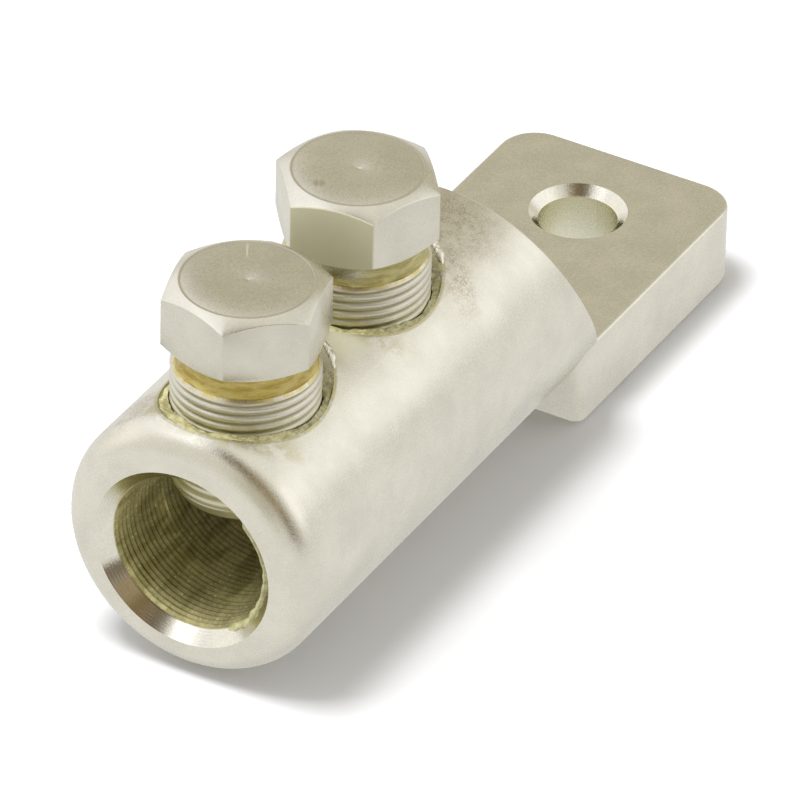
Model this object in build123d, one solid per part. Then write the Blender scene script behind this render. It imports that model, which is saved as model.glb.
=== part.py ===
"""Mechanical cable lug: a one-piece body with a blind cable barrel and a flat palm, and two shear bolts.

Frame: the origin is the centre of the stud hole on the palm's contact face, which is its underside.
+X runs along the barrel to the palm's end, and +Z is up, the way the bolts' heads point.
"""

from build123d import *
import os
from math import cos, radians, tan

# Barrel
barrel_d = 41.6
mouth_round_r = 5.3  # outer edge of the mouth face
shoulder_top_to_mouth = 75.8  # along the barrel's crest
shoulder_foot_to_mouth = 89.2  # where the scooped shoulder meets the palm's top
shoulder_scoop_r = 80.0
shoulder_edge_chamfer = 0.7

# Cable bore, a little below the barrel's own axis so that the wall under the bolts is thicker
bore_d = 25.2
bore_drop = 0.6
bore_depth = 66.0
bore_tip_angle = 118.0
mouth_chamfer_w = 1.9  # radially
mouth_chamfer_h = 2.2  # along the bore
grip_depth = 0.3  # behind the mouth's plain land the wall is opened to the root of its fine grip grooves

# Palm
overall_length = 134.3
palm_w = 38.8
palm_t = 12.8
palm_top_to_axis = 7.35
palm_block_to_mouth = 83.9  # the block's inner end, seen below the barrel
palm_corner_r = 6.2  # at the free end
palm_inner_corner_r = 2.0
palm_edge_r = 0.6
stud_hole_d = 12.2
stud_hole_to_end = 16.8
stud_countersink = 1.5

# Shear bolts
thread_d = 22.0  # over the crests
thread_clearance = 0.15  # between the bolt's crests and its plain hole
hole_countersink = 4.1  # its depth below the barrel's crest
bolt_to_mouth = 17.7
bolt_spacing = 31.4
bolt_tip_above_axis = 2.7
rear_bolt_rise = 1.2
shank_length = 21.4
tip_chamfer_h = 2.3
tip_chamfer_r = 1.4
rim_chamfer = 0.58  # at the upper end of the thread
neck_d = 16.0
neck_length = 2.9
head_across_flats = 22.0
head_h = 10.8
head_face_d = 19.8  # the flat circle inside the head's chamfers
head_chamfer_angle = 30.0
front_head_turn = 14.8
rear_head_turn = 39.9

# Grease in the necks
grease_d = 19.8
grease_gap = 0.3

# Places
mouth_x = stud_hole_to_end - overall_length
barrel_r = barrel_d / 2
bore_r = bore_d / 2
axis_z = palm_t + palm_top_to_axis
crest_z = axis_z + barrel_r
bore_z = axis_z - bore_drop
thread_r = thread_d / 2
bolt_hole_r = thread_r + thread_clearance
bolts = {
    "front": (mouth_x + bolt_to_mouth, 0.0, front_head_turn),
    "rear": (mouth_x + bolt_to_mouth + bolt_spacing, rear_bolt_rise, rear_head_turn),
}
over = 1.0  # how far a cut runs past the face that it opens


def turned(points, axis):
    """The solid that an outline in the XZ plane sweeps about an axis."""
    outline = Polyline(*points, close=True)
    return revolve(Plane.XZ * make_face(outline), axis)


def barrel():
    """The turned barrel with its rounded mouth edge, cut back by the scooped shoulder."""
    foot_x = mouth_x + shoulder_foot_to_mouth
    top_x = mouth_x + shoulder_top_to_mouth
    outline = [
        Line((mouth_x, axis_z), (mouth_x, crest_z - mouth_round_r)),
        RadiusArc(
            (mouth_x, crest_z - mouth_round_r), (mouth_x + mouth_round_r, crest_z), mouth_round_r
        ),
        Line((mouth_x + mouth_round_r, crest_z), (foot_x, crest_z)),
        Line((foot_x, crest_z), (foot_x, axis_z)),
        Line((foot_x, axis_z), (mouth_x, axis_z)),
    ]
    solid = revolve(Plane.XZ * make_face(outline), Axis((0, 0, axis_z), (1, 0, 0)))
    scoop = [
        RadiusArc((top_x, crest_z), (foot_x, palm_t), -shoulder_scoop_r),
        Line((foot_x, palm_t), (foot_x + over, palm_t)),
        Line((foot_x + over, palm_t), (foot_x + over, crest_z + over)),
        Line((foot_x + over, crest_z + over), (top_x, crest_z + over)),
        Line((top_x, crest_z + over), (top_x, crest_z)),
    ]
    solid -= extrude(Plane.XZ * make_face(scoop), barrel_r + over, both=True)
    shoulder = solid.faces().filter_by(GeomType.CYLINDER).sort_by(Axis.X)[-1]
    rim = [e for e in shoulder.edges() if e.center().Z > palm_t + over and e.length > barrel_r]
    solid = chamfer(rim, shoulder_edge_chamfer)
    # The underside is milled level with the palm behind the block's rounded edge.
    below_x = mouth_x + palm_block_to_mouth + palm_edge_r
    length = foot_x + over - below_x
    milled = Box(length, barrel_d, barrel_r, align=(Align.MIN, Align.CENTER, Align.MAX))
    return solid - Pos(below_x, 0, 0) * milled


def palm():
    """The palm's block with rounded corners and edges."""
    length = overall_length - palm_block_to_mouth
    block = Box(length, palm_w, palm_t, align=(Align.MIN, Align.CENTER, Align.MIN))
    ends = block.edges().filter_by(Axis.Z).group_by(Axis.X)
    block = fillet(ends[-1], palm_corner_r)
    ends = block.edges().filter_by(Axis.Z).group_by(Axis.X)
    block = fillet(ends[0], palm_inner_corner_r)
    rims = block.edges().group_by(Axis.Z)
    block = fillet(rims[0] + rims[-1], palm_edge_r)
    return Pos(mouth_x + palm_block_to_mouth, 0, 0) * block


def cable_bore():
    """The blind bore: its mouth chamfer, a plain land before the first bolt, the grip zone and the drilled tip."""
    flare = mouth_chamfer_w / mouth_chamfer_h
    land_end = bolt_to_mouth - bolt_hole_r
    grip_r = bore_r + grip_depth
    points = [
        (-over, 0),
        (-over, bore_r + mouth_chamfer_w + over * flare),
        (mouth_chamfer_h, bore_r),
        (land_end, bore_r),
        (land_end + grip_depth, grip_r),
        (bore_depth, grip_r),
        (bore_depth + grip_r / tan(radians(bore_tip_angle / 2)), 0),
    ]
    placed = [(mouth_x + along, bore_z + radius) for along, radius in points]
    return turned(placed, Axis((0, 0, bore_z), (1, 0, 0)))


def bolt_hole(x):
    """A bolt's hole through the upper wall, with its countersink."""
    sink_z = crest_z - hole_countersink
    points = [
        (x, bore_z),
        (x + bolt_hole_r, bore_z),
        (x + bolt_hole_r, sink_z),
        (x + bolt_hole_r + hole_countersink + over, crest_z + over),
        (x, crest_z + over),
    ]
    return turned(points, Axis((x, 0, 0), (0, 0, 1)))


def stud_hole():
    """The hole through the palm, countersunk on top."""
    radius = stud_hole_d / 2
    points = [
        (0, -over),
        (radius, -over),
        (radius, palm_t - stud_countersink),
        (radius + stud_countersink + over, palm_t + over),
        (0, palm_t + over),
    ]
    return turned(points, Axis.Z)


def lug_body():
    """Barrel and palm in one piece, with every hole cut."""
    solid = barrel() + palm()
    solid -= cable_bore()
    for x, _, _ in bolts.values():
        solid -= bolt_hole(x)
    return solid - stud_hole()


def shear_bolt(x, rise, turn):
    """One bolt: shank with a chamfered tip, the neck that shears, and a double-chamfered hex head."""
    tip_z = axis_z + bolt_tip_above_axis + rise
    rim_z = tip_z + shank_length
    under_z = rim_z + neck_length
    top_z = under_z + head_h
    face_r = head_face_d / 2
    corner_r = head_across_flats / 2 / cos(radians(30))
    slope = tan(radians(head_chamfer_angle))
    reach = corner_r + over
    shank = [
        (0, tip_z),
        (thread_r - tip_chamfer_r, tip_z),
        (thread_r, tip_z + tip_chamfer_h),
        (thread_r, rim_z - rim_chamfer),
        (thread_r - rim_chamfer, rim_z),
        (neck_d / 2, rim_z),
        (neck_d / 2, under_z + over),
        (0, under_z + over),
    ]
    blank = [
        (0, under_z),
        (face_r, under_z),
        (reach, under_z + (reach - face_r) * slope),
        (reach, top_z - (reach - face_r) * slope),
        (face_r, top_z),
        (0, top_z),
    ]
    hexagon = Pos(0, 0, under_z) * extrude(RegularPolygon(corner_r, 6), head_h)
    head = hexagon & turned(blank, Axis.Z)
    solid = turned(shank, Axis.Z) + Rot(0, 0, turn) * head
    return Pos(x, 0, 0) * solid


def neck_grease(x, rise):
    """The ring of grease that fills a bolt's neck and travels with it."""
    low = axis_z + bolt_tip_above_axis + rise + shank_length + grease_gap
    high = low + neck_length - 2 * grease_gap
    inner = neck_d / 2 + grease_gap
    points = [(inner, low), (grease_d / 2, low), (grease_d / 2, high), (inner, high)]
    return Pos(x, 0, 0) * turned(points, Axis.Z)


os.makedirs("parts", exist_ok=True)
export_step(lug_body(), "parts/lug_body.step")
for place, (x, rise, turn) in bolts.items():
    export_step(shear_bolt(x, rise, turn), f"parts/{place}_shear_bolt.step")
    export_step(neck_grease(x, rise), f"parts/{place}_neck_grease.step")
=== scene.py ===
import bmesh
import bpy
from math import atan2, cos, degrees, hypot, pi, radians, sin, sqrt, tan
from mathutils import Matrix, Vector, noise


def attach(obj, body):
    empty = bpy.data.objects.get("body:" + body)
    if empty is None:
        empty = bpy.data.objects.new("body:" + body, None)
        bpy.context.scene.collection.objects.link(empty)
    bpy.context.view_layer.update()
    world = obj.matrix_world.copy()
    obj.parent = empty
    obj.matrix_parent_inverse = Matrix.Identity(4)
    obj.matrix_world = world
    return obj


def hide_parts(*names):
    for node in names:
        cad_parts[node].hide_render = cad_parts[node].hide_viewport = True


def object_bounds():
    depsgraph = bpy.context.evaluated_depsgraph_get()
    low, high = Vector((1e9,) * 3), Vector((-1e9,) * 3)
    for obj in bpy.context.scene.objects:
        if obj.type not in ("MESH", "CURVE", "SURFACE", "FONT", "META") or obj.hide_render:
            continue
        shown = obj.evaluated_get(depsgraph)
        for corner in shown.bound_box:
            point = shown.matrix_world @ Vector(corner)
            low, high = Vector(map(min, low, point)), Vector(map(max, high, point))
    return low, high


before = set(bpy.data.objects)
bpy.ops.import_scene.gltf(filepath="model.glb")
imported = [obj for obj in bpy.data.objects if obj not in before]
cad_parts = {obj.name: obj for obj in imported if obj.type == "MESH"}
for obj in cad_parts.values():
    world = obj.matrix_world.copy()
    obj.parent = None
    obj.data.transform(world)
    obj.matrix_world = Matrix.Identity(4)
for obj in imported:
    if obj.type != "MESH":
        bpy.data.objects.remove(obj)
cad_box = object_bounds()

# The camera stands 1.4 m from the lug with a long lens, in front of its mouth, to one side and above it, as
# the photograph was taken.
photo_px = 800
lens_px = 9437.5
sensor_mm = 36
camera_distance = 1.3736
azimuth = radians(-60.8955)
elevation = radians(34.9148)
roll = radians(1.4071)
aim = Vector((-0.0739, -0.0109, 0.0256))
upright = Vector((0, 0, 1))
back = Vector((sin(azimuth) * cos(elevation), -cos(azimuth) * cos(elevation), sin(elevation)))
level = upright.cross(back).normalized()
plumb = back.cross(level)
camera_right = level * cos(roll) + plumb * sin(roll)
camera_up = plumb * cos(roll) - level * sin(roll)
camera_data = bpy.data.cameras.new("camera")
camera_data.sensor_width = sensor_mm
camera_data.lens = lens_px * sensor_mm / photo_px
camera = bpy.data.objects.new("camera", camera_data)
camera_turn = Matrix((camera_right, camera_up, back)).transposed().to_4x4()
camera.matrix_world = Matrix.Translation(aim + back * camera_distance) @ camera_turn
scene = bpy.context.scene
scene.collection.objects.link(camera)
scene.camera = camera
scene.view_settings.view_transform = "Standard"


# The studio: a white room with a dimmer far side, soft boxes on the left, a window on the right and a brown
# corner behind the camera. The room is what the tin mirrors. One soft lamp overhead throws the shadow.
def wire(tree, kind, *values, **settings):
    """Adds a node, gives its inputs in their order a value or a link, and returns its first output."""
    node = tree.nodes.new("ShaderNode" + kind)
    for name, value in settings.items():
        setattr(node, name, value)
    for socket, value in zip([s for s in node.inputs if s.enabled], values):
        if isinstance(value, bpy.types.NodeSocket):
            tree.links.new(value, socket)
        elif value is not None:
            socket.default_value = value
    return [s for s in node.outputs if s.enabled][0]


def outputs_of(tree, kind, *values):
    """Adds a node and returns its outputs by name."""
    return wire(tree, kind, *values).node.outputs


def ramp(tree, value, low, high, start=0.0, end=1.0):
    """Goes smoothly from start to end while value goes from low to high."""
    return wire(tree, "MapRange", value, low, high, start, end, interpolation_type="SMOOTHSTEP")


def fade(tree, value, low, high):
    """Goes smoothly from one to nothing while value goes from low to high."""
    return ramp(tree, value, low, high, 1.0, 0.0)


def mix(tree, amount, first, second):
    """Mixes two colours."""
    return wire(tree, "Mix", amount, first, second, data_type="RGBA")


room_white = (0.84, 0.82, 0.78, 1)
room_zones = (
    # each zone's colour, the way to its middle, and how many degrees from there its fade starts and ends
    ((0.95, 0.93, 0.88, 1), (0, 0, 1), 12, 45),  # the ceiling
    ((0.76, 0.73, 0.62, 1), (0.716, 0.69, 0.06), 15, 35),
    ((0.59, 0.553, 0.445, 1), (0.716, 0.399, 0.572), 12, 34),  # the far side, which flat tops mirror
    ((0.60, 0.56, 0.42, 1), (0.93, -0.05, 0.36), 8, 24),
    ((1.22, 1.21, 1.21, 1), (0.72, -0.57, 0.40), 6, 22),  # a window on the right
    ((1.30, 1.28, 1.28, 1), (0.28, -0.84, 0.46), 10, 26),
    ((0.94, 0.93, 0.89, 1), (0.45, -0.38, 0.81), 6, 20),
    ((1.32, 1.31, 1.36, 1), (-0.22, 0.50, 0.84), 10, 26),  # wide soft boxes on the left
    ((1.7, 1.7, 1.8, 1), (-0.48, 0.38, 0.79), 5, 14),
    ((1.28, 1.27, 1.34, 1), (0.10, 0.80, 0.60), 16, 32),
    ((1.14, 1.13, 1.17, 1), (0.38, 0.87, 0.30), 10, 24),
    ((1.15, 1.13, 1.10, 1), (-0.15, 0.95, 0.28), 12, 28),
    ((0.16, 0.125, 0.08, 1), (-0.50, -0.15, 0.85), 6, 20),  # the brown corner behind the camera
    ((0.58, 0.56, 0.46, 1), (-0.90, -0.32, 0.28), 8, 26),
    ((0.21, 0.145, 0.07, 1), (-0.53, -0.48, 0.70), 8, 22),
    ((0.36, 0.28, 0.16, 1), (-0.50, -0.72, 0.48), 7, 20),
    ((0.20, 0.16, 0.11, 1), (-0.45, -0.88, 0.12), 7, 20),
)
white = (1, 1, 1, 1)
world = bpy.data.worlds.new("studio")
scene.world = world
world.use_nodes = True
room = world.node_tree
room.nodes.clear()
sight = outputs_of(room, "TexCoord")["Generated"]
wall = room_white
for colour, middle, fade_start, fade_end in room_zones:
    toward = wire(room, "VectorMath", sight, Vector(middle).normalized(), operation="DOT_PRODUCT")
    near = ramp(room, toward, cos(radians(fade_end)), cos(radians(fade_start)))
    wall = mix(room, near, wall, colour)
wall = mix(room, outputs_of(room, "LightPath")["Is Camera Ray"], wall, white)
world_output = room.nodes.new("ShaderNodeOutputWorld")
room.links.new(wire(room, "Background", wall, 1.0), world_output.inputs["Surface"])

lamp_energy = 16
lamp_side = 0.5
lamp_distance = 1.3
lamp_aim = Vector((-0.06, 0, 0.02))
lamp_way = Vector((-0.16, 0.24, 0.96)).normalized()
lamp_data = bpy.data.lights.new("soft_lamp", "AREA")
lamp_data.energy = lamp_energy
lamp_data.size = lamp_side
lamp = bpy.data.objects.new("soft_lamp", lamp_data)
lamp.location = lamp_aim + lamp_way * lamp_distance
lamp.rotation_euler = lamp_way.to_track_quat("Z", "Y").to_euler()
lamp.visible_glossy = False
scene.collection.objects.link(lamp)


# The table: a plain sheet of pale paper under the lug. The camera sees it nearly white, it takes the lug's
# shadow, and the tin mirrors most of it as an even light.
def finished(name, mesh, body=None):
    """Puts a finished mesh into the scene as one object, which rides on a body if one is named."""
    piece = bpy.data.objects.new(name, mesh)
    scene.collection.objects.link(piece)
    if body:
        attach(piece, body)
    return piece


def to_mesh(bm, name, smooth_angle=None):
    """Ends a bmesh as a mesh, with its normals outwards and its faces smooth up to an angle in degrees."""
    bmesh.ops.recalc_face_normals(bm, faces=bm.faces)
    mesh = bpy.data.meshes.new(name)
    for face in bm.faces:
        face.smooth = smooth_angle is not None
    bm.to_mesh(mesh)
    bm.free()
    if smooth_angle is not None:
        mesh.set_sharp_from_angle(angle=radians(smooth_angle))
    return mesh


def scaled(tree, place, by):
    """Stretches or flattens places by a factor along each axis."""
    return wire(tree, "VectorMath", place, by, operation="MULTIPLY")


def material(name):
    """A new material with its node tree, its Principled shader and Object coordinates in millimetres."""
    made = bpy.data.materials.new(name)
    made.use_nodes = True
    tree = made.node_tree
    place = scaled(tree, outputs_of(tree, "TexCoord")["Object"], (1000, 1000, 1000))
    return made, tree, tree.nodes["Principled BSDF"], place


def joined(tree, operation, first, *others):
    """Joins several values one after the other by one operation."""
    for other in others:
        first = wire(tree, "Math", first, other, operation=operation)
    return first


def product(tree, *values):
    return joined(tree, "MULTIPLY", *values)


def total(tree, *values):
    return joined(tree, "ADD", *values)


def less(tree, *values):
    """The first value without the others."""
    return joined(tree, "SUBTRACT", *values)


def largest(tree, *values):
    return joined(tree, "MAXIMUM", *values)


table_reach = 3  # metres from its middle to each edge
table_gap = 0.00002
paper_dim = (0.60, 0.60, 0.60, 1)
paper_light = (0.615, 0.615, 0.615, 1)
paper_seen = (0.75, 0.76, 0.785, 1)
paper_mirrored = (0.87, 0.86, 0.85, 1)
mirrored_share = 0.75
bm = bmesh.new()
bmesh.ops.create_grid(bm, x_segments=1, y_segments=1, size=table_reach)
bmesh.ops.translate(bm, verts=bm.verts, vec=(0, 0, cad_box[0][2] - table_gap))
floor = finished("floor", to_mesh(bm, "floor"))
paper, tree, shader, place = material("white_paper")
rays = outputs_of(tree, "LightPath")
sheet = mix(tree, wire(tree, "TexNoise", place, 0.3, 4.0), paper_dim, paper_light)
matt = wire(tree, "BsdfDiffuse", mix(tree, rays["Is Camera Ray"], sheet, paper_seen))
even = wire(tree, "Emission", paper_mirrored, 1.0)
whole = wire(tree, "MixShader", product(tree, rays["Is Glossy Ray"], mirrored_share), matt, even)
tree.links.new(whole, tree.nodes["Material Output"].inputs["Surface"])
floor.data.materials.append(paper)


# The lug's body: one forging of aluminium, turned, drilled and milled, then tinned all over. The tin is
# satin, with a fine grain, faint clouds and a brown film near the bolts' holes. Grease from the bolts films
# it olive.
def group(name, inputs, outputs):
    """A shader node group with named sockets: its tree, its inputs and its output node."""
    tree = bpy.data.node_groups.new(name, "ShaderNodeTree")
    for label, kind, value in inputs:
        socket = tree.interface.new_socket(label, in_out="INPUT", socket_type="NodeSocket" + kind)
        if value is not None:
            socket.default_value = value
    for label, kind in outputs:
        tree.interface.new_socket(label, in_out="OUTPUT", socket_type="NodeSocket" + kind)
    return tree, tree.nodes.new("NodeGroupInput").outputs, tree.nodes.new("NodeGroupOutput").inputs


brown_film_and_shade = (0.34, 0.27, 0.16, 1)
pit_brown = (0.40, 0.37, 0.28, 1)
pit_colour = 0.13  # how strongly a pit shows
pit_depth = 0.12
fleck_roughness = 0.3
satin_tin, given, result = group(
    "satin_tin",
    [
        ("Place", "Vector", None),
        ("Tin", "Color", (0.71, 0.69, 0.60, 1)),
        ("Clouds", "Float", 0.06),
        ("Roughness", "Float", 0.30),
        ("Grain", "Float", 1.0),
        ("Stain and shade", "Float", 0.0),
    ],
    [("Colour", "Color"), ("Roughness", "Float"), ("Height", "Float")],
)
clouds = wire(satin_tin, "TexNoise", given["Place"], 0.16, 3.0, 0.55)
flecks = wire(satin_tin, "TexNoise", given["Place"], 2.6, 3.0, 0.65)
fine_grain = wire(satin_tin, "TexNoise", given["Place"], 7.0, 2.0, 0.6)
pits = ramp(satin_tin, wire(satin_tin, "TexNoise", given["Place"], 1.3, 4.0, 0.75), 0.70, 0.78)
shift = ramp(satin_tin, total(satin_tin, clouds, flecks), 0.75, 1.25, -1.0, 1.0)
shift = wire(satin_tin, "Math", shift, given["Clouds"], 1.0, operation="MULTIPLY_ADD")
tone = wire(satin_tin, "VectorMath", given["Tin"], shift, operation="SCALE")
speckle = ramp(satin_tin, total(satin_tin, flecks, fine_grain), 0.82, 1.10)
# brown where the tin is stained, and the same brown as painted shade in the marks on the bolts' heads
colour = mix(satin_tin, product(satin_tin, given["Stain and shade"], speckle), tone, brown_film_and_shade)
colour = mix(satin_tin, product(satin_tin, pits, pit_colour, given["Grain"]), colour, pit_brown)
satin_tin.links.new(colour, result["Colour"])
rough = less(satin_tin, flecks, 0.5)
rough = wire(satin_tin, "Math", rough, fleck_roughness, given["Roughness"], operation="MULTIPLY_ADD")
satin_tin.links.new(rough, result["Roughness"])
height = less(satin_tin, total(satin_tin, flecks, fine_grain), product(satin_tin, pits, pit_depth))
satin_tin.links.new(product(satin_tin, height, given["Grain"]), result["Height"])


def tinned(tree, place, tin, clouds=0.06, roughness=0.30, grain=1.0, stain_and_shade=0.0):
    """Places the satin tin group in a material and returns its colour, roughness and height."""
    node = tree.nodes.new("ShaderNodeGroup")
    node.node_tree = satin_tin
    for label, value in (
        ("Place", place),
        ("Tin", tin),
        ("Clouds", clouds),
        ("Roughness", roughness),
        ("Grain", grain),
        ("Stain and shade", stain_and_shade),
    ):
        if isinstance(value, bpy.types.NodeSocket):
            tree.links.new(value, node.inputs[label])
        else:
            node.inputs[label].default_value = value
    return node.outputs["Colour"], node.outputs["Roughness"], node.outputs["Height"]


def around(tree, place, x, y):
    """How far a place is from an upright axis at x, y, in millimetres."""
    return wire(tree, "VectorMath", scaled(tree, place, (1, 1, 0)), (x, y, 0), operation="DISTANCE")


def mix_values(tree, amount, first, second):
    """Mixes two numbers."""
    return wire(tree, "Mix", amount, first, second)


def dress(tree, shader, colour, rough, height, strength, depth):
    """Gives a shader its colour, its roughness and its relief, whose depth is in millimetres."""
    tree.links.new(colour, shader.inputs["Base Color"])
    tree.links.new(rough, shader.inputs["Roughness"])
    tree.links.new(wire(tree, "Bump", strength, depth / 1000, None, height), shader.inputs["Normal"])


# Every length from here on is in millimetres, as in the model's source.
barrel_r = 20.8
barrel_z = 20.15
crest_z = barrel_z + barrel_r
mouth_x = -117.5
bore_r = 12.6
bore_z = barrel_z - 0.6
chamfer_r = bore_r + 1.9
chamfer_x = mouth_x + 2.2
bore_end_x = mouth_x + 75  # the end of its drilled tip
bolt_hole_r = 11.15
sink_low = crest_z - 4.1  # where the holes' countersinks start
bolt_x = {"front": -99.8, "rear": -68.4}
rise_of = {"front": 0.0, "rear": 1.2}
stud_hole_r = 6.1
stud_sink_r = 7.6
body_colour = (0.765, 0.745, 0.65, 1)
stud_hole_colour = (0.81, 0.795, 0.64, 1)
olive_dark = (0.36, 0.325, 0.18, 1)
olive_light = (0.56, 0.52, 0.30, 1)
film_colour = (0.52, 0.50, 0.36, 1)
film_dulls = 0.8  # how much of the mirror a thick film takes away
front_stain_at = (-109.5, 12.0)
rear_stain_at = (-49.0, -4.0)
cut_pitch = 0.32  # of the rings that the chamfer's tool has left

body_tin, tree, shader, place = material("tinned_body")
shader.inputs["Metallic"].default_value = 1.0
at = outputs_of(tree, "SeparateXYZ", place)
from_bore = wire(tree, "VectorMath", scaled(tree, place, (0, 1, 1)), (0, 0, bore_z), operation="DISTANCE")
from_front, from_rear = (around(tree, place, x, 0) for x in bolt_x.values())
from_hole = joined(tree, "MINIMUM", from_front, from_rear)
from_stud = around(tree, place, 0, 0)
blotch = wire(tree, "TexNoise", place, 0.55, 4.0, 0.6)

# brown stains before the front bolt and behind the rear one
front_stain = product(tree, fade(tree, around(tree, place, *front_stain_at), 2, 7.5), 0.7)
beside_rear = product(tree, fade(tree, from_rear, 15.5, 20), ramp(tree, at["X"], -66, -58))
rear_stain = largest(tree, beside_rear, fade(tree, around(tree, place, *rear_stain_at), 3, 12))
rear_stain = product(tree, rear_stain, fade(tree, at["Y"], 1, 6), 0.65)
stain_and_shade = largest(tree, front_stain, rear_stain, 0.10)
stain_and_shade = product(tree, stain_and_shade, ramp(tree, at["Z"], 30, 36, 0.3, 1.0), ramp(tree, blotch, 0.30, 0.60, 0.25, 1.0))
colour, rough, height = tinned(tree, place, body_colour, roughness=0.27, stain_and_shade=stain_and_shade)

# olive grease on the wall of the bore, in the bolts' holes and countersinks, and smeared on their mouth sides
on_wall = fade(tree, from_bore, bore_r + 0.4, bore_r + 0.6)
behind_chamfer = ramp(tree, at["X"], chamfer_x - 0.2, chamfer_x + 0.05)
in_bore = product(tree, on_wall, behind_chamfer, fade(tree, at["X"], bore_end_x - 0.5, bore_end_x + 0.5))
in_hole = fade(tree, from_hole, bolt_hole_r + 0.1, bolt_hole_r + 0.35)
in_hole = product(tree, in_hole, ramp(tree, at["Z"], 24, 25))
off_sink = wire(tree, "Math", less(tree, at["Z"], from_hole, sink_low - bolt_hole_r), operation="ABSOLUTE")
in_sink = product(tree, fade(tree, off_sink, 0.35, 0.9), fade(tree, from_hole, 15.6, 16.4))
in_sink = product(tree, in_sink, ramp(tree, blotch, 0.32, 0.55, 0.35, 1.0))
before_front = fade(tree, at["X"], -108, -104)
before_rear = product(tree, ramp(tree, at["X"], -88, -86), fade(tree, at["X"], -78, -74))
smear = product(tree, fade(tree, from_hole, 14.6, 16.4), ramp(tree, at["Z"], 33, 36))
smear = product(tree, smear, ramp(tree, blotch, 0.40, 0.60), 0.6, largest(tree, before_front, before_rear))
olive = mix(tree, ramp(tree, blotch, 0.36, 0.62), olive_dark, olive_light)
colour = mix(tree, largest(tree, in_bore, in_hole, in_sink, smear), colour, olive)

# a thicker, duller film on the crest between the two bolts
between = product(tree, ramp(tree, at["X"], -90, -87), fade(tree, at["X"], -82, -79))
between = product(tree, between, ramp(tree, at["Z"], 38, 40), ramp(tree, blotch, 0.3, 0.5, 0.6, 0.9))
in_stud = fade(tree, from_stud, stud_hole_r + 0.05, stud_hole_r + 0.2)
colour = mix(tree, in_stud, colour, stud_hole_colour)
colour = mix(tree, between, colour, film_colour)
tree.links.new(less(tree, 1, product(tree, between, film_dulls)), shader.inputs["Metallic"])

# the stud hole's countersink and the mouth's chamfer are bright from the tool, the chamfer with faint rings
on_countersink = fade(tree, from_stud, stud_sink_r - 0.05, stud_sink_r + 0.1)
on_countersink = product(tree, on_countersink, less(tree, 1.0, in_stud))
on_chamfer = fade(tree, from_bore, chamfer_r, chamfer_r + 0.1)
on_chamfer = product(tree, on_chamfer, fade(tree, at["X"], chamfer_x, chamfer_x + 0.1))
rough = mix_values(tree, between, rough, 0.5)
rough = mix_values(tree, largest(tree, on_countersink, on_chamfer), rough, 0.15)
tool_rings = wire(tree, "Math", product(tree, from_bore, 2 * pi / cut_pitch), operation="SINE")
tool_rings = product(tree, tool_rings, on_chamfer, ramp(tree, blotch, 0.4, 0.6, 0.0, 0.14))
height = product(tree, height, ramp(tree, on_chamfer, 0, 1, 1, 0.35))
dress(tree, shader, colour, rough, total(tree, height, tool_rings), 0.5, 0.03)
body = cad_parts["lug_body"]
body.material_slots[0].material = body_tin


# The bore's grip: fine ring grooves cut in its wall so that the strands of the conductor can't slip out,
# with a film of joint grease. The bolts' two holes break through them from above.
def lathe(bm, outline, centre, axis, steps, closed=True):
    """Spins an outline of places in millimetres a full turn about an axis."""
    verts = [bm.verts.new(Vector(p) / 1000) for p in outline]
    edges = [bm.edges.new(pair) for pair in zip(verts, verts[1:])]
    if closed:
        edges.append(bm.edges.new((verts[-1], verts[0])))
    bmesh.ops.spin(
        bm,
        geom=verts + edges,
        cent=Vector(centre) / 1000,
        axis=axis,
        angle=2 * pi,
        steps=steps,
        use_merge=True,
    )
    bmesh.ops.remove_doubles(bm, verts=bm.verts, dist=1e-7)


grip_pitch = 1.05
grip_crest = 12.37
grip_root = 12.56
grip_land = 12.54
grip_back = 12.97
grip_lip_x = mouth_x + 2.24
grip_start = mouth_x + 2.6
grip_end = mouth_x + 64
grip_wander = 0.06
groove_shape = ((0.3, grip_crest), (0.5, grip_crest), (0.74, grip_root), (grip_pitch, grip_root))
drill_r = bolt_hole_r + 0.04
drill_length = 20
drill_low = bore_z + 2
outline = [
    (grip_lip_x, 0, bore_z + grip_root + 0.1),
    (mouth_x + 2.3, 0, bore_z + grip_root),
    (grip_start, 0, bore_z + grip_land),
]
along = grip_start
while along + grip_pitch < grip_end:
    for step, radius in groove_shape:
        outline.append((along + step, 0, bore_z + radius))
    along += grip_pitch
outline += [(grip_end, 0, bore_z + grip_back), (grip_lip_x, 0, bore_z + grip_back)]
bm = bmesh.new()
lathe(bm, outline, (0, 0, bore_z), (1, 0, 0), 144)
for v in bm.verts:
    out = Vector((0, v.co.y, v.co.z - bore_z / 1000))
    if out.length * 1000 < grip_land + 0.01:
        wander = noise.noise(Vector((v.co.x * 700, v.co.y * 160, v.co.z * 160))) * grip_wander
        v.co += out.normalized() * wander / 1000
grip = finished("grip_grooves", to_mesh(bm, "grip_grooves"))
drills = []
for x in bolt_x.values():
    bm = bmesh.new()
    bmesh.ops.create_cone(
        bm,
        cap_ends=True,
        segments=96,
        radius1=drill_r / 1000,
        radius2=drill_r / 1000,
        depth=drill_length / 1000,
        matrix=Matrix.Translation((x / 1000, 0, (drill_low + drill_length / 2) / 1000)),
    )
    drill = finished("drill", to_mesh(bm, "drill"))
    cut = grip.modifiers.new("hole", "BOOLEAN")
    cut.operation = "DIFFERENCE"
    cut.object = drill
    cut.solver = "EXACT"
    drills.append(drill)
bpy.context.view_layer.update()
cut_mesh = bpy.data.meshes.new_from_object(grip.evaluated_get(bpy.context.evaluated_depsgraph_get()))
grip.modifiers.clear()
grip.data = cut_mesh
for drill in drills:
    bpy.data.objects.remove(drill)
bm = bmesh.new()
bm.from_mesh(cut_mesh)
bmesh.ops.dissolve_verts(bm, verts=[v for v in bm.verts if len(v.link_edges) == 2])
bm.to_mesh(cut_mesh)
bm.free()
for polygon in cut_mesh.polygons:
    polygon.use_smooth = True
cut_mesh.set_sharp_from_angle(angle=radians(40))
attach(grip, "lug")

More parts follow.
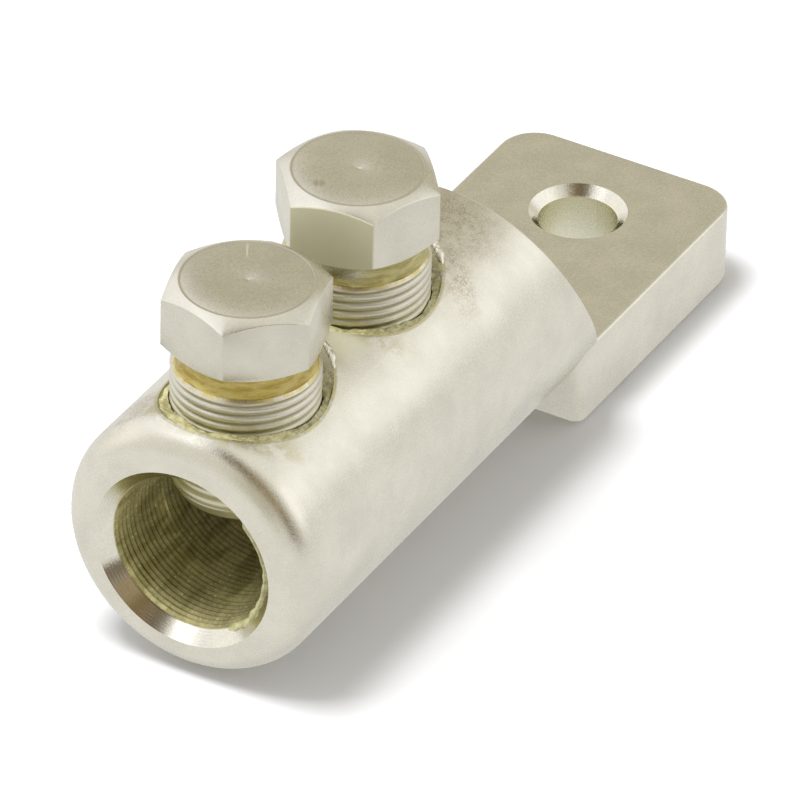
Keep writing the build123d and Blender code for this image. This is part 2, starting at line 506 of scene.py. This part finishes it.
greased_tin = (0.86, 0.81, 0.47, 1)
streak_colour = (0.36, 0.33, 0.14, 1)
bore_film, tree, shader, place = material("bore_film")
shader.inputs["Metallic"].default_value = 0.55
colour, rough, height = tinned(tree, place, greased_tin, clouds=0.20, roughness=0.22, grain=0.25)
streak = wire(tree, "TexNoise", scaled(tree, place, (0.25, 1, 1)), 0.5, 4.0, 0.6)
colour = mix(tree, ramp(tree, streak, 0.42, 0.62, 0, 0.6), colour, streak_colour)
dress(tree, shader, colour, rough, total(tree, height, streak), 0.35, 0.04)
cut_mesh.materials.clear()
cut_mesh.materials.append(bore_film)


# The two shear bolts: turned and threaded bar, tinned, each with a hex head chamfered above and below, which
# twists off at the grooved neck once the conductor is clamped. Grease sits in the valleys of the thread.
thread_r = 11.0
thread_root = 10.38
thread_pitch = 1.5
thread_turns = 16
thread_steps = 72  # in one turn
tip_z = barrel_z + 2.7  # of the front bolt, as are the heights below
rim_z = tip_z + 21.4
under_z = rim_z + 2.9
top_z = under_z + 10.8
tip_r = 9.6
tip_h = 2.3
rim_chamfer = 0.58
neck_r = 8.0
across_flats = 22.0
face_r = 9.9
blank_r = 13.7
head_slope = tan(radians(30))
turn_of = {"front": 14.8, "rear": 39.9}
front_x = bolt_x["front"]
thread_profile = (
    # radius and height over one pitch
    (thread_root, 0),
    (thread_root, 0.1),
    (10.68, 0.25),
    (10.88, 0.38),
    (10.97, 0.54),
    (thread_r, 0.75),
    (10.97, 0.96),
    (10.88, 1.12),
    (10.68, 1.25),
    (thread_root, 1.4),
    (thread_root, thread_pitch),
)

# the threaded shank, which both bolts share: a long helix, cut off level and chamfered at its tip and its rim
shank = bmesh.new()
start_z = tip_z - thread_pitch
verts = [shank.verts.new(((front_x + r) / 1000, 0, (start_z + z) / 1000)) for r, z in thread_profile]
edges = [shank.edges.new(pair) for pair in zip(verts, verts[1:])]
bmesh.ops.spin(
    shank,
    geom=verts + edges,
    cent=(front_x / 1000, 0, 0),
    axis=upright,
    dvec=(0, 0, thread_pitch / 1000 / thread_steps),
    angle=2 * pi * thread_turns,
    steps=thread_steps * thread_turns,
)
bmesh.ops.remove_doubles(shank, verts=shank.verts, dist=1e-6)
chamfer_start = rim_z - rim_chamfer
for z in (tip_z, tip_z + 0.8, tip_z + 1.6, tip_z + tip_h, chamfer_start, rim_z - rim_chamfer / 2, rim_z):
    bmesh.ops.bisect_plane(
        shank,
        geom=shank.verts[:] + shank.edges[:] + shank.faces[:],
        dist=1e-7,
        plane_co=(0, 0, z / 1000),
        plane_no=upright,
        clear_inner=z == tip_z,
        clear_outer=z == rim_z,
    )
for v in shank.verts:
    z = v.co.z * 1000
    r = hypot(v.co.x * 1000 - front_x, v.co.y * 1000)
    tip_limit = tip_r + (z - tip_z) * (thread_r - tip_r) / tip_h
    limit = min(tip_limit, thread_r + min(0, chamfer_start - z))
    if r > limit:
        v.co.x = (front_x + (v.co.x * 1000 - front_x) * limit / r) / 1000
        v.co.y *= limit / r
ends = [e for e in shank.edges if e.is_boundary]
tip_edges = [e for e in ends if all(abs(v.co.z * 1000 - tip_z) < 0.01 for v in e.verts)]
bmesh.ops.contextual_create(shank, geom=tip_edges)
rim_edges = [e for e in shank.edges if e.is_boundary]
for radius, z in ((neck_r + 0.25, rim_z), (neck_r, rim_z + 0.25), (neck_r, rim_z + 0.7)):
    grown = bmesh.ops.extrude_edge_only(shank, edges=rim_edges)["geom"]
    rim_edges = [g for g in grown if isinstance(g, bmesh.types.BMEdge)]
    for v in {v for e in rim_edges for v in e.verts}:
        turn = atan2(v.co.y, v.co.x - front_x / 1000)
        v.co = Vector((front_x + radius * cos(turn), radius * sin(turn), z)) / 1000
shank_mesh = bpy.data.meshes.new("shank")
shank.to_mesh(shank_mesh)
shank.free()


def bolt_mesh(name, x, lift, turn):
    """A turned blank with neck, chamfers, facing ring and centre pip, milled to a hexagon, on the shank."""
    bm = bmesh.new()
    under = under_z + lift
    top = top_z + lift
    depth = (blank_r - face_r) * head_slope
    outline = [
        (neck_r, under - 0.9),
        (neck_r, under),
        (face_r, under),
        (blank_r, under + depth),
        (blank_r, top - depth),
        (face_r, top),
        (9.68, top),  # the facing ring
        (9.6, top - 0.04),
        (9.52, top - 0.04),
        (9.44, top),
        (0.42, top),  # the pip that the lathe's centre leaves
        (0.3, top - 0.06),
        (0, top - 0.18),
    ]
    lathe(bm, [(x + r, 0, z) for r, z in outline], (x, 0, 0), upright, 120, closed=False)
    for flat in range(6):
        facing = radians(turn + 30 + 60 * flat)
        out = Vector((cos(facing), sin(facing), 0))
        cut = bmesh.ops.bisect_plane(
            bm,
            geom=bm.verts[:] + bm.edges[:] + bm.faces[:],
            dist=1e-7,
            plane_co=(Vector((x, 0, 0)) + out * across_flats / 2) / 1000,
            plane_no=out,
            clear_outer=True,
        )["geom_cut"]
        bmesh.ops.contextual_create(bm, geom=[g for g in cut if isinstance(g, bmesh.types.BMEdge)])
    bmesh.ops.recalc_face_normals(bm, faces=bm.faces)
    keen = [
        e
        for e in bm.edges
        if len(e.link_faces) == 2
        and e.calc_face_angle() > radians(20)
        and all(hypot(v.co.x * 1000 - x, v.co.y * 1000) > face_r - 0.1 for v in e.verts)
    ]
    bmesh.ops.bevel(
        bm,
        geom=keen,
        offset=0.00013,
        offset_type="OFFSET",
        affect="EDGES",
        segments=2,
        profile=0.5,
        clamp_overlap=True,
        material=-1,
    )
    own_shank = shank_mesh.copy()
    own_shank.transform(Matrix.Translation(((x - front_x) / 1000, 0, lift / 1000)))
    bm.from_mesh(own_shank)
    bpy.data.meshes.remove(own_shank)
    bmesh.ops.bridge_loops(bm, edges=[e for e in bm.edges if e.is_boundary])
    return to_mesh(bm, name, 28)


def ahead(tree, place, start, way):
    """How far a place is ahead of a start, along a direction, in millimetres."""
    moved = wire(tree, "VectorMath", place, [-distance for distance in start], operation="ADD")
    return wire(tree, "VectorMath", moved, way, operation="DOT_PRODUCT")


bolt_colour = (0.70, 0.68, 0.585, 1)
scratch_colour = (0.95, 0.94, 0.86, 1)
valley_colour = (0.60, 0.57, 0.38, 1)
rim_line_colour = (0.60, 0.49, 0.15, 1)
dull_colour = (0.57, 0.56, 0.375, 1)
scratch_at = {"front": (6.4, 3.8), "rear": (-6.3, 2.9)}  # from each head's middle
scratch_share = {"front": 1.0, "rear": 0.3}
scratch_way = (0.874, 0.486, 0)
scratch_side = (-0.486, 0.874, 0)
to_front_bolt = (-0.985, -0.172, 0)  # the way that one flat of the rear head faces
for name, x in bolt_x.items():
    lift = rise_of[name]
    bolt_name = name + "_bolt"
    bolt = finished(bolt_name, bolt_mesh(bolt_name, x, lift, turn_of[name]), bolt_name)
    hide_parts(name + "_shear_bolt")
    bolt_tin, tree, shader, place = material(name + "_bolt_tin")
    shader.inputs["Metallic"].default_value = 1.0
    at = outputs_of(tree, "SeparateXYZ", place)
    radius = around(tree, place, x, 0)
    top = top_z + lift
    rim = rim_z + lift

    # the head's top: painted shade in its facing ring's groove, its pip and the rear head's dent; a scratch
    on_top = ramp(tree, at["Z"], top - 0.4, top - 0.3)
    # painted shade: darker in the facing ring's groove and in the centre pip
    ring_groove_shade = product(tree, ramp(tree, radius, 9.3, 9.5), fade(tree, radius, 9.7, 9.95), 0.22)
    stain_and_shade = product(tree, on_top, largest(tree, ring_groove_shade, ramp(tree, radius, 0.25, 0.5, 0.3, 0.0)))
    mark_x = x + scratch_at[name][0]
    mark_y = scratch_at[name][1]
    scratch_long = ahead(tree, place, (mark_x, mark_y, 0), scratch_way)
    scratch_long = wire(tree, "Math", scratch_long, operation="ABSOLUTE")
    scratch_wide = ahead(tree, place, (mark_x, mark_y, 0), scratch_side)
    scratch_wide = wire(tree, "Math", scratch_wide, operation="ABSOLUTE")
    scratch = product(tree, fade(tree, scratch_long, 1.0, 2.4), fade(tree, scratch_wide, 0.08, 0.22))
    scratch = product(tree, scratch, on_top, scratch_share[name])
    if name == "rear":
        # painted shade of a dent: a dark spot, as the dent itself is not modelled
        dent_shade = fade(tree, around(tree, place, mark_x, mark_y), 0.3, 1.3)
        stain_and_shade = largest(tree, stain_and_shade, product(tree, dent_shade, on_top, 0.8))
    colour, rough, height = tinned(tree, place, bolt_colour, roughness=0.31, grain=0.55, stain_and_shade=stain_and_shade)
    colour = mix(tree, scratch, colour, scratch_colour)

    # the thread: grease in its valleys and round its lower end, and a golden line on its rim
    threaded = fade(tree, at["Z"], rim - 0.5, rim - 0.2)
    patch = wire(tree, "TexNoise", place, 0.6, 4.0, 0.65)
    valley = product(tree, fade(tree, radius, 10.45, 10.75), threaded, 0.8)
    low_end = fade(tree, total(tree, at["Z"], product(tree, patch, -6)), 36.4, 37.6)
    greased = largest(tree, valley, product(tree, low_end, threaded, 0.55))
    rim_line = ramp(tree, at["Z"], rim - 0.5, rim - 0.2)
    rim_line = product(tree, rim_line, fade(tree, at["Z"], rim + 1.5, rim + 1.7))
    rim_line = product(tree, rim_line, ramp(tree, patch, 0.40, 0.55, 0.2, 0.85))
    colour = mix(tree, greased, colour, valley_colour)
    colour = mix(tree, rim_line, colour, rim_line_colour)
    rough = mix_values(tree, threaded, rough, 0.42)

    # the rear head has a dull film of grease on the flat that faces the front bolt
    if name == "rear":
        on_flat = ramp(tree, ahead(tree, place, (x, 0, 0), to_front_bolt), 10.75, 10.9)
        dull = product(tree, on_flat, ramp(tree, at["Z"], rim + 1.5, rim + 2.0), 0.75)
        colour = mix(tree, dull, colour, dull_colour)
        rough = mix_values(tree, dull, rough, 0.6)
        tree.links.new(less(tree, 1, product(tree, dull, film_dulls)), shader.inputs["Metallic"])
    brushed = wire(tree, "TexNoise", scaled(tree, place, (0.7, 9, 1)), 1.0, 3.0, 0.6)
    height = total(tree, height, product(tree, brushed, on_top, 1.2))
    dress(tree, shader, colour, rough, height, 0.25, 0.03)
    bolt.data.materials.append(bolt_tin)


# The grease in each bolt's neck: soft golden joint grease that was smeared round it at assembly, uneven and
# glossy. It fills the groove between thread and head and travels with the bolt.
joint_grease, given, result = group(
    "joint_grease",
    [
        ("Place", "Vector", None),
        ("Thin", "Color", (0.62, 0.52, 0.17, 1)),
        ("Thick", "Color", (0.34, 0.24, 0.04, 1)),
        ("Size", "Float", 0.5),
    ],
    [("Colour", "Color"), ("Roughness", "Float"), ("Height", "Float")],
)
swirl = wire(joint_grease, "TexNoise", given["Place"], given["Size"], 5.0, 0.62)
wet = wire(joint_grease, "TexNoise", given["Place"], 2.2, 2.0, 0.5)
colour = mix(joint_grease, ramp(joint_grease, swirl, 0.36, 0.62), given["Thick"], given["Thin"])
joint_grease.links.new(colour, result["Colour"])
joint_grease.links.new(ramp(joint_grease, wet, 0.3, 0.7, 0.16, 0.42), result["Roughness"])
joint_grease.links.new(total(joint_grease, swirl, product(joint_grease, wet, 0.4)), result["Height"])


def greasy(name, thin, thick, size, stretch=(1, 1, 1), strength=0.6):
    """A grease material: itself, its tree, its shader, its place and its colour."""
    made, tree, shader, place = material(name)
    node = tree.nodes.new("ShaderNodeGroup")
    node.node_tree = joint_grease
    tree.links.new(scaled(tree, place, stretch), node.inputs["Place"])
    node.inputs["Thin"].default_value = thin
    node.inputs["Thick"].default_value = thick
    node.inputs["Size"].default_value = size
    colour = node.outputs["Colour"]
    dress(tree, shader, colour, node.outputs["Roughness"], node.outputs["Height"], strength, 0.25)
    return made, tree, shader, place, colour


collar_thin = {"front": (0.60, 0.50, 0.15, 1), "rear": (0.58, 0.53, 0.24, 1)}
collar_thick = {"front": (0.42, 0.30, 0.04, 1), "rear": (0.38, 0.33, 0.10, 1)}
collar_strength = {"front": 0.6, "rear": 0.2}
bare_metal = (0.42, 0.40, 0.31, 1)
bare_side = (-0.486, 0.874, 0)
collar_shape = (
    # radius and height above the thread's rim
    (7.8, 0.02),
    (10.38, 0.02),
    (10.3, 0.25),
    (10.08, 0.6),
    (9.8, 1.1),
    (9.65, 1.7),
    (9.65, 2.3),
    (9.75, 2.86),
    (7.8, 2.86),
)
for name, x in bolt_x.items():
    rim = rim_z + rise_of[name]
    golden, tree, shader, place, colour = greasy(
        name + "_neck_grease",
        collar_thin[name],
        collar_thick[name],
        size=0.7,
        stretch=(0.4, 0.4, 2.2),
        strength=collar_strength[name],
    )
    if name == "rear":  # on its left the metal of the neck shows above the grease
        leftward = ahead(tree, place, (x, 0, 0), bare_side)
        above = ramp(tree, outputs_of(tree, "SeparateXYZ", place)["Z"], rim + 0.5, rim + 1.2)
        bare = product(tree, ramp(tree, leftward, -4.0, 2.0), above)
        tree.links.new(mix(tree, bare, colour, bare_metal), shader.inputs["Base Color"])
        tree.links.new(bare, shader.inputs["Metallic"])
    bm = bmesh.new()
    lathe(bm, [(x + r, 0, rim + z) for r, z in collar_shape], (x, 0, 0), upright, 144)
    for v in bm.verts:
        out = Vector((v.co.x - x / 1000, v.co.y, 0)).normalized()
        if hypot(v.co.x * 1000 - x, v.co.y * 1000) > 9:
            v.co += out * (noise.noise(v.co * 260) * 0.22 + noise.noise(v.co * 900) * 0.12) / 1000
    collar_name = name + "_grease_collar"
    collar = finished(collar_name, to_mesh(bm, collar_name, 50), name + "_bolt_travel")
    collar.data.materials.append(golden)
    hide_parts(name + "_neck_grease")


# The grease in the countersinks: crumbly olive joint grease that the threads have pushed up out of the holes.
# It is thickest on the side of the mouth, thins out behind each bolt, and stays with the body.
def sink_rim(turn):
    """The radius at which a hole's countersink opens on the round barrel, towards one side."""
    slant = 1 + sin(turn) ** 2
    low = sink_low - bolt_hole_r - barrel_z
    return (sqrt(low ** 2 + slant * (barrel_r ** 2 - low ** 2)) - low) / slant


def barrel_top(r, turn):
    """The height of the barrel's surface at a radius from a bolt's axis, towards one side."""
    return barrel_z + sqrt(barrel_r ** 2 - (r * sin(turn)) ** 2)


fill_r = 11.12
fill_w = 2.6  # from the thread outwards
fill_low = 36.3
fill_steps = 8
fill_reach = 13.6
fill_inner = 37.3  # the height beside the thread where the fill is thinnest
fill_swell = 1.2
fill_way = radians(215)  # where it is thickest
olive_grease, tree, shader, place, colour = greasy(
    "olive_grease", (0.56, 0.53, 0.30, 1), (0.31, 0.28, 0.12, 1), 1.0
)
section = [(fill_r, fill_low), (fill_r, fill_low + 0.5)]
section += [(fill_r + fill_w * step / fill_steps, 38) for step in range(fill_steps + 1)]
section += [(11.5, fill_low)]
for name, x in bolt_x.items():
    bm = bmesh.new()
    lathe(bm, [(x + r, 0, z) for r, z in section], (x, 0, 0), upright, 240)
    for v in bm.verts:
        if v.co.z * 1000 > 37:
            turn = atan2(v.co.y * 1000, v.co.x * 1000 - x)
            share = (hypot(v.co.x * 1000 - x, v.co.y * 1000) - fill_r) / fill_w
            full = 0.5 + 0.5 * cos(turn - fill_way)
            reach = min(fill_reach, sink_rim(turn) + 0.35) - 1.5 * (1 - full) ** 2
            reach += 0.35 * noise.noise(v.co * 400)
            inner = fill_inner + fill_swell * full + 0.35 * noise.noise(v.co * 300)
            inner = min(inner, barrel_top(fill_r, turn) + 0.2)
            outer = min(sink_low + reach - bolt_hole_r, barrel_top(reach, turn)) - 0.15
            crumb = 0.35 * noise.noise(v.co * 700) + 0.25 * noise.noise(v.co * 1700)
            r = fill_r + share * (reach - fill_r)
            z = inner + (outer - inner) * share + crumb * (1 - share)
            v.co = Vector((x + r * cos(turn), r * sin(turn), z)) / 1000
    grease_name = name + "_hole_grease"
    crumbs = finished(grease_name, to_mesh(bm, grease_name, 60), "lug")
    crumbs.data.materials.append(olive_grease)


# The bead at the mouth: paler grease that the fill of the bore has left along one side of the mouth's inner
# edge. It is thin at its upper end but for one lump, and grows wide and ragged at the bottom.
def placed(centre, first, second):
    """A place in metres as a matrix whose X and Y run along two directions."""
    return Matrix.Translation(centre) @ Matrix((first, second, first.cross(second))).transposed().to_4x4()


def swept_bead(start, radius, segments, hub, axis, sweep, steps):
    """A closed bead: a small ring at a start, swept about a hub, with its ends filled."""
    bm = bmesh.new()
    bmesh.ops.create_circle(bm, cap_ends=False, segments=segments, radius=radius, matrix=start)
    bmesh.ops.spin(bm, geom=bm.verts[:] + bm.edges[:], cent=hub, axis=axis, angle=radians(sweep), steps=steps)
    bmesh.ops.holes_fill(bm, edges=[e for e in bm.edges if e.is_boundary])
    return bm


bead_first = 134.0  # degrees about the bore's axis, from +Y towards +Z
bead_sweep = 108.0
bead_lump = 141.0
bead_widens = 200.0
bead_hub = Vector((chamfer_x, 0, bore_z)) / 1000
bore_way = Vector((1, 0, 0))
pale_grease, tree, shader, place, colour = greasy(
    "pale_grease", (0.58, 0.57, 0.33, 1), (0.40, 0.38, 0.17, 1), 0.8
)
way = Vector((0, cos(radians(bead_first)), sin(radians(bead_first))))
start = placed(bead_hub + way * bore_r / 1000, bore_way, way)
bm = swept_bead(start, 0.0004, 10, bead_hub, bore_way, bead_sweep, 160)
for v in bm.verts:
    from_hub = Vector((0, v.co.y, v.co.z - bore_z / 1000))
    turn = degrees(atan2(from_hub.z, from_hub.y)) % 360
    out = from_hub.normalized()
    centre = bead_hub + out * bore_r / 1000
    taper = min(1.0, max(0.0, (turn - bead_first) / 4), max(0.0, (bead_first + bead_sweep - turn) / 12))
    lump = max(0.0, 1 - abs(turn - bead_lump) / 5)
    widened = max(0.0, min(1.0, (turn - bead_widens) / 22))
    wide = (0.75 + 0.9 * lump + 1.1 * widened) * (1 + 0.8 * noise.noise(v.co * 700)) * sqrt(taper)
    spine_r = bore_r - 0.25 * max(0.0, 1 - abs(turn - 150) / 20) + 0.5 * widened
    v.co = bead_hub + out * spine_r / 1000 + (v.co - centre) * wide
bmesh.ops.remove_doubles(bm, verts=bm.verts, dist=1e-6)
bead = finished("bore_rim_bead", to_mesh(bm, "bore_rim_bead", 70), "lug")
bead.data.materials.append(pale_grease)


# The burrs beside the bolts' holes: light lips that the countersinking tool has raised at their rims. They
# are the body's own metal, tinned over, rough and broken, with a painted highlight in their paler tin.
burr_first = -38.0  # degrees about each bolt's axis
burr_sweep = 22.0
burr_ring_r = 0.0145
burr_tin_painted_highlight, tree, shader, place = material("burr_tin_painted_highlight")
shader.inputs["Metallic"].default_value = 1.0
# painted highlight: a paler tin than the body's, so that the burrs catch the eye as bright flecks
colour, rough, height = tinned(tree, place, (0.86, 0.84, 0.74, 1), roughness=0.38, grain=1.5)
dress(tree, shader, colour, rough, height, 0.5, 0.05)
way = Vector((cos(radians(burr_first)), sin(radians(burr_first)), 0))
for name, x in bolt_x.items():
    hub = Vector((x, 0, 40)) / 1000
    bm = swept_bead(placed(hub + way * burr_ring_r, way, upright), 0.0005, 12, hub, upright, burr_sweep, 60)
    for v in bm.verts:
        turn = atan2(v.co.y, v.co.x - hub.x)
        out = Vector((cos(turn), sin(turn), 0))
        share = min(1.0, max(0.0, (degrees(turn) - burr_first) / burr_sweep))
        ragged = 1.15 + 0.7 * noise.noise(v.co * 450) + 0.5 * noise.noise(v.co * 1500)
        wide = sqrt(max(0.04, sin(pi * share))) * ragged
        lip = sink_rim(turn) + 0.15
        ridge = (Vector((x, 0, barrel_top(lip, turn))) + out * lip) / 1000
        v.co = ridge + (v.co - hub - out * burr_ring_r) * wide
    burr = finished(name + "_rim_burr", to_mesh(bm, name + "_rim_burr", 60), "lug")
    burr.data.materials.append(burr_tin_painted_highlight)
